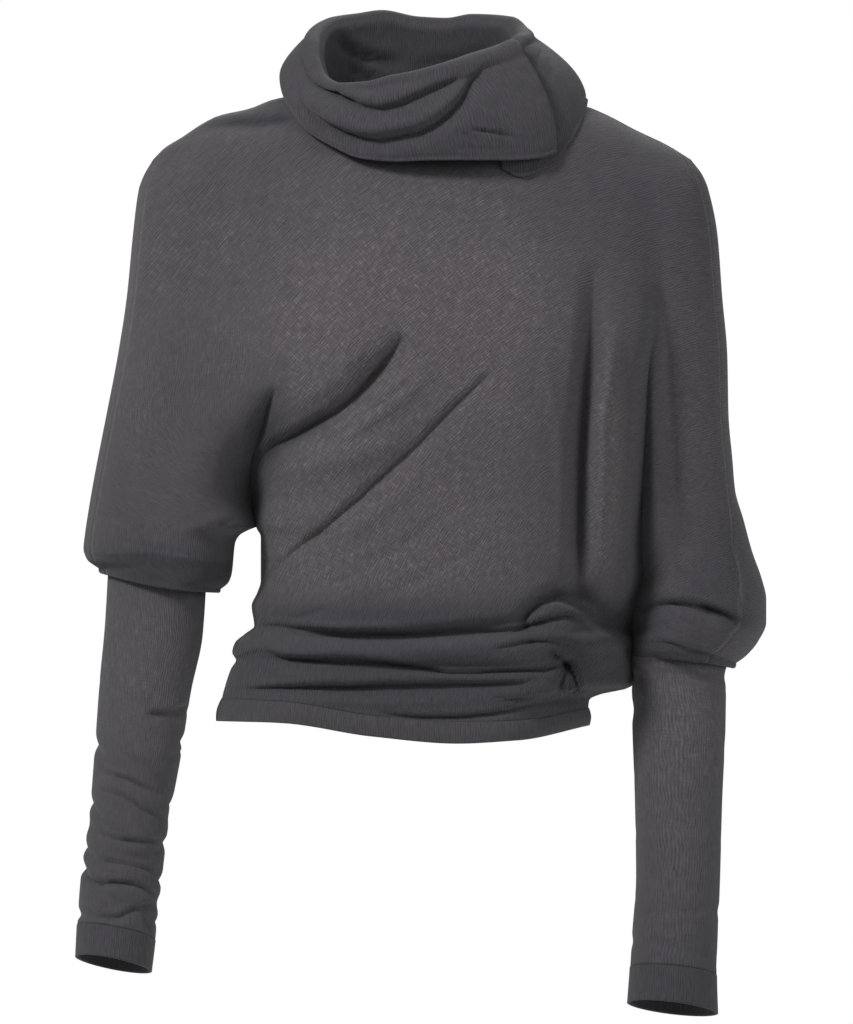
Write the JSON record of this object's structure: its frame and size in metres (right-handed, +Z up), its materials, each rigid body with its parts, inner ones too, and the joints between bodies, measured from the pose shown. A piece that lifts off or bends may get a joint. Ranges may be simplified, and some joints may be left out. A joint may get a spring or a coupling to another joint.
{
  "type": "long-sleeve top",
  "caption": "Ribbed jersey top worn on an unseen figure: batwing upper sleeves over fitted lower sleeves, wrapped cowl collar, bunched waist and hem band.",
  "frame": {"origin": "Middle of the neck base at shoulder height, where the wearer's neck and shoulders hold the top.", "axes": "+Z up along the body, +X to the viewer's right as seen from the front (the wearer's left), +Y to the back."},
  "size_m": [0.5262, 0.2229, 0.7779],
  "materials": {
    "body_jersey": "matt fine crinkle rib jersey, charcoal grey",
    "collar_jersey": "matt fine crinkle rib jersey, charcoal grey, doubled",
    "sleeve_rib": "matt narrow rib jersey, charcoal grey",
    "band_rib": "matt doubled rib band, charcoal grey"
  },
  "bodies": {
    "root": {"front_panel": "body_jersey", "back_panel": "body_jersey", "collar": "collar_jersey", "lower_sleeve_right": "sleeve_rib", "lower_sleeve_left": "sleeve_rib", "cuff_right": "band_rib", "cuff_left": "band_rib", "hem_band": "band_rib"}
  },
  "joints": []
}
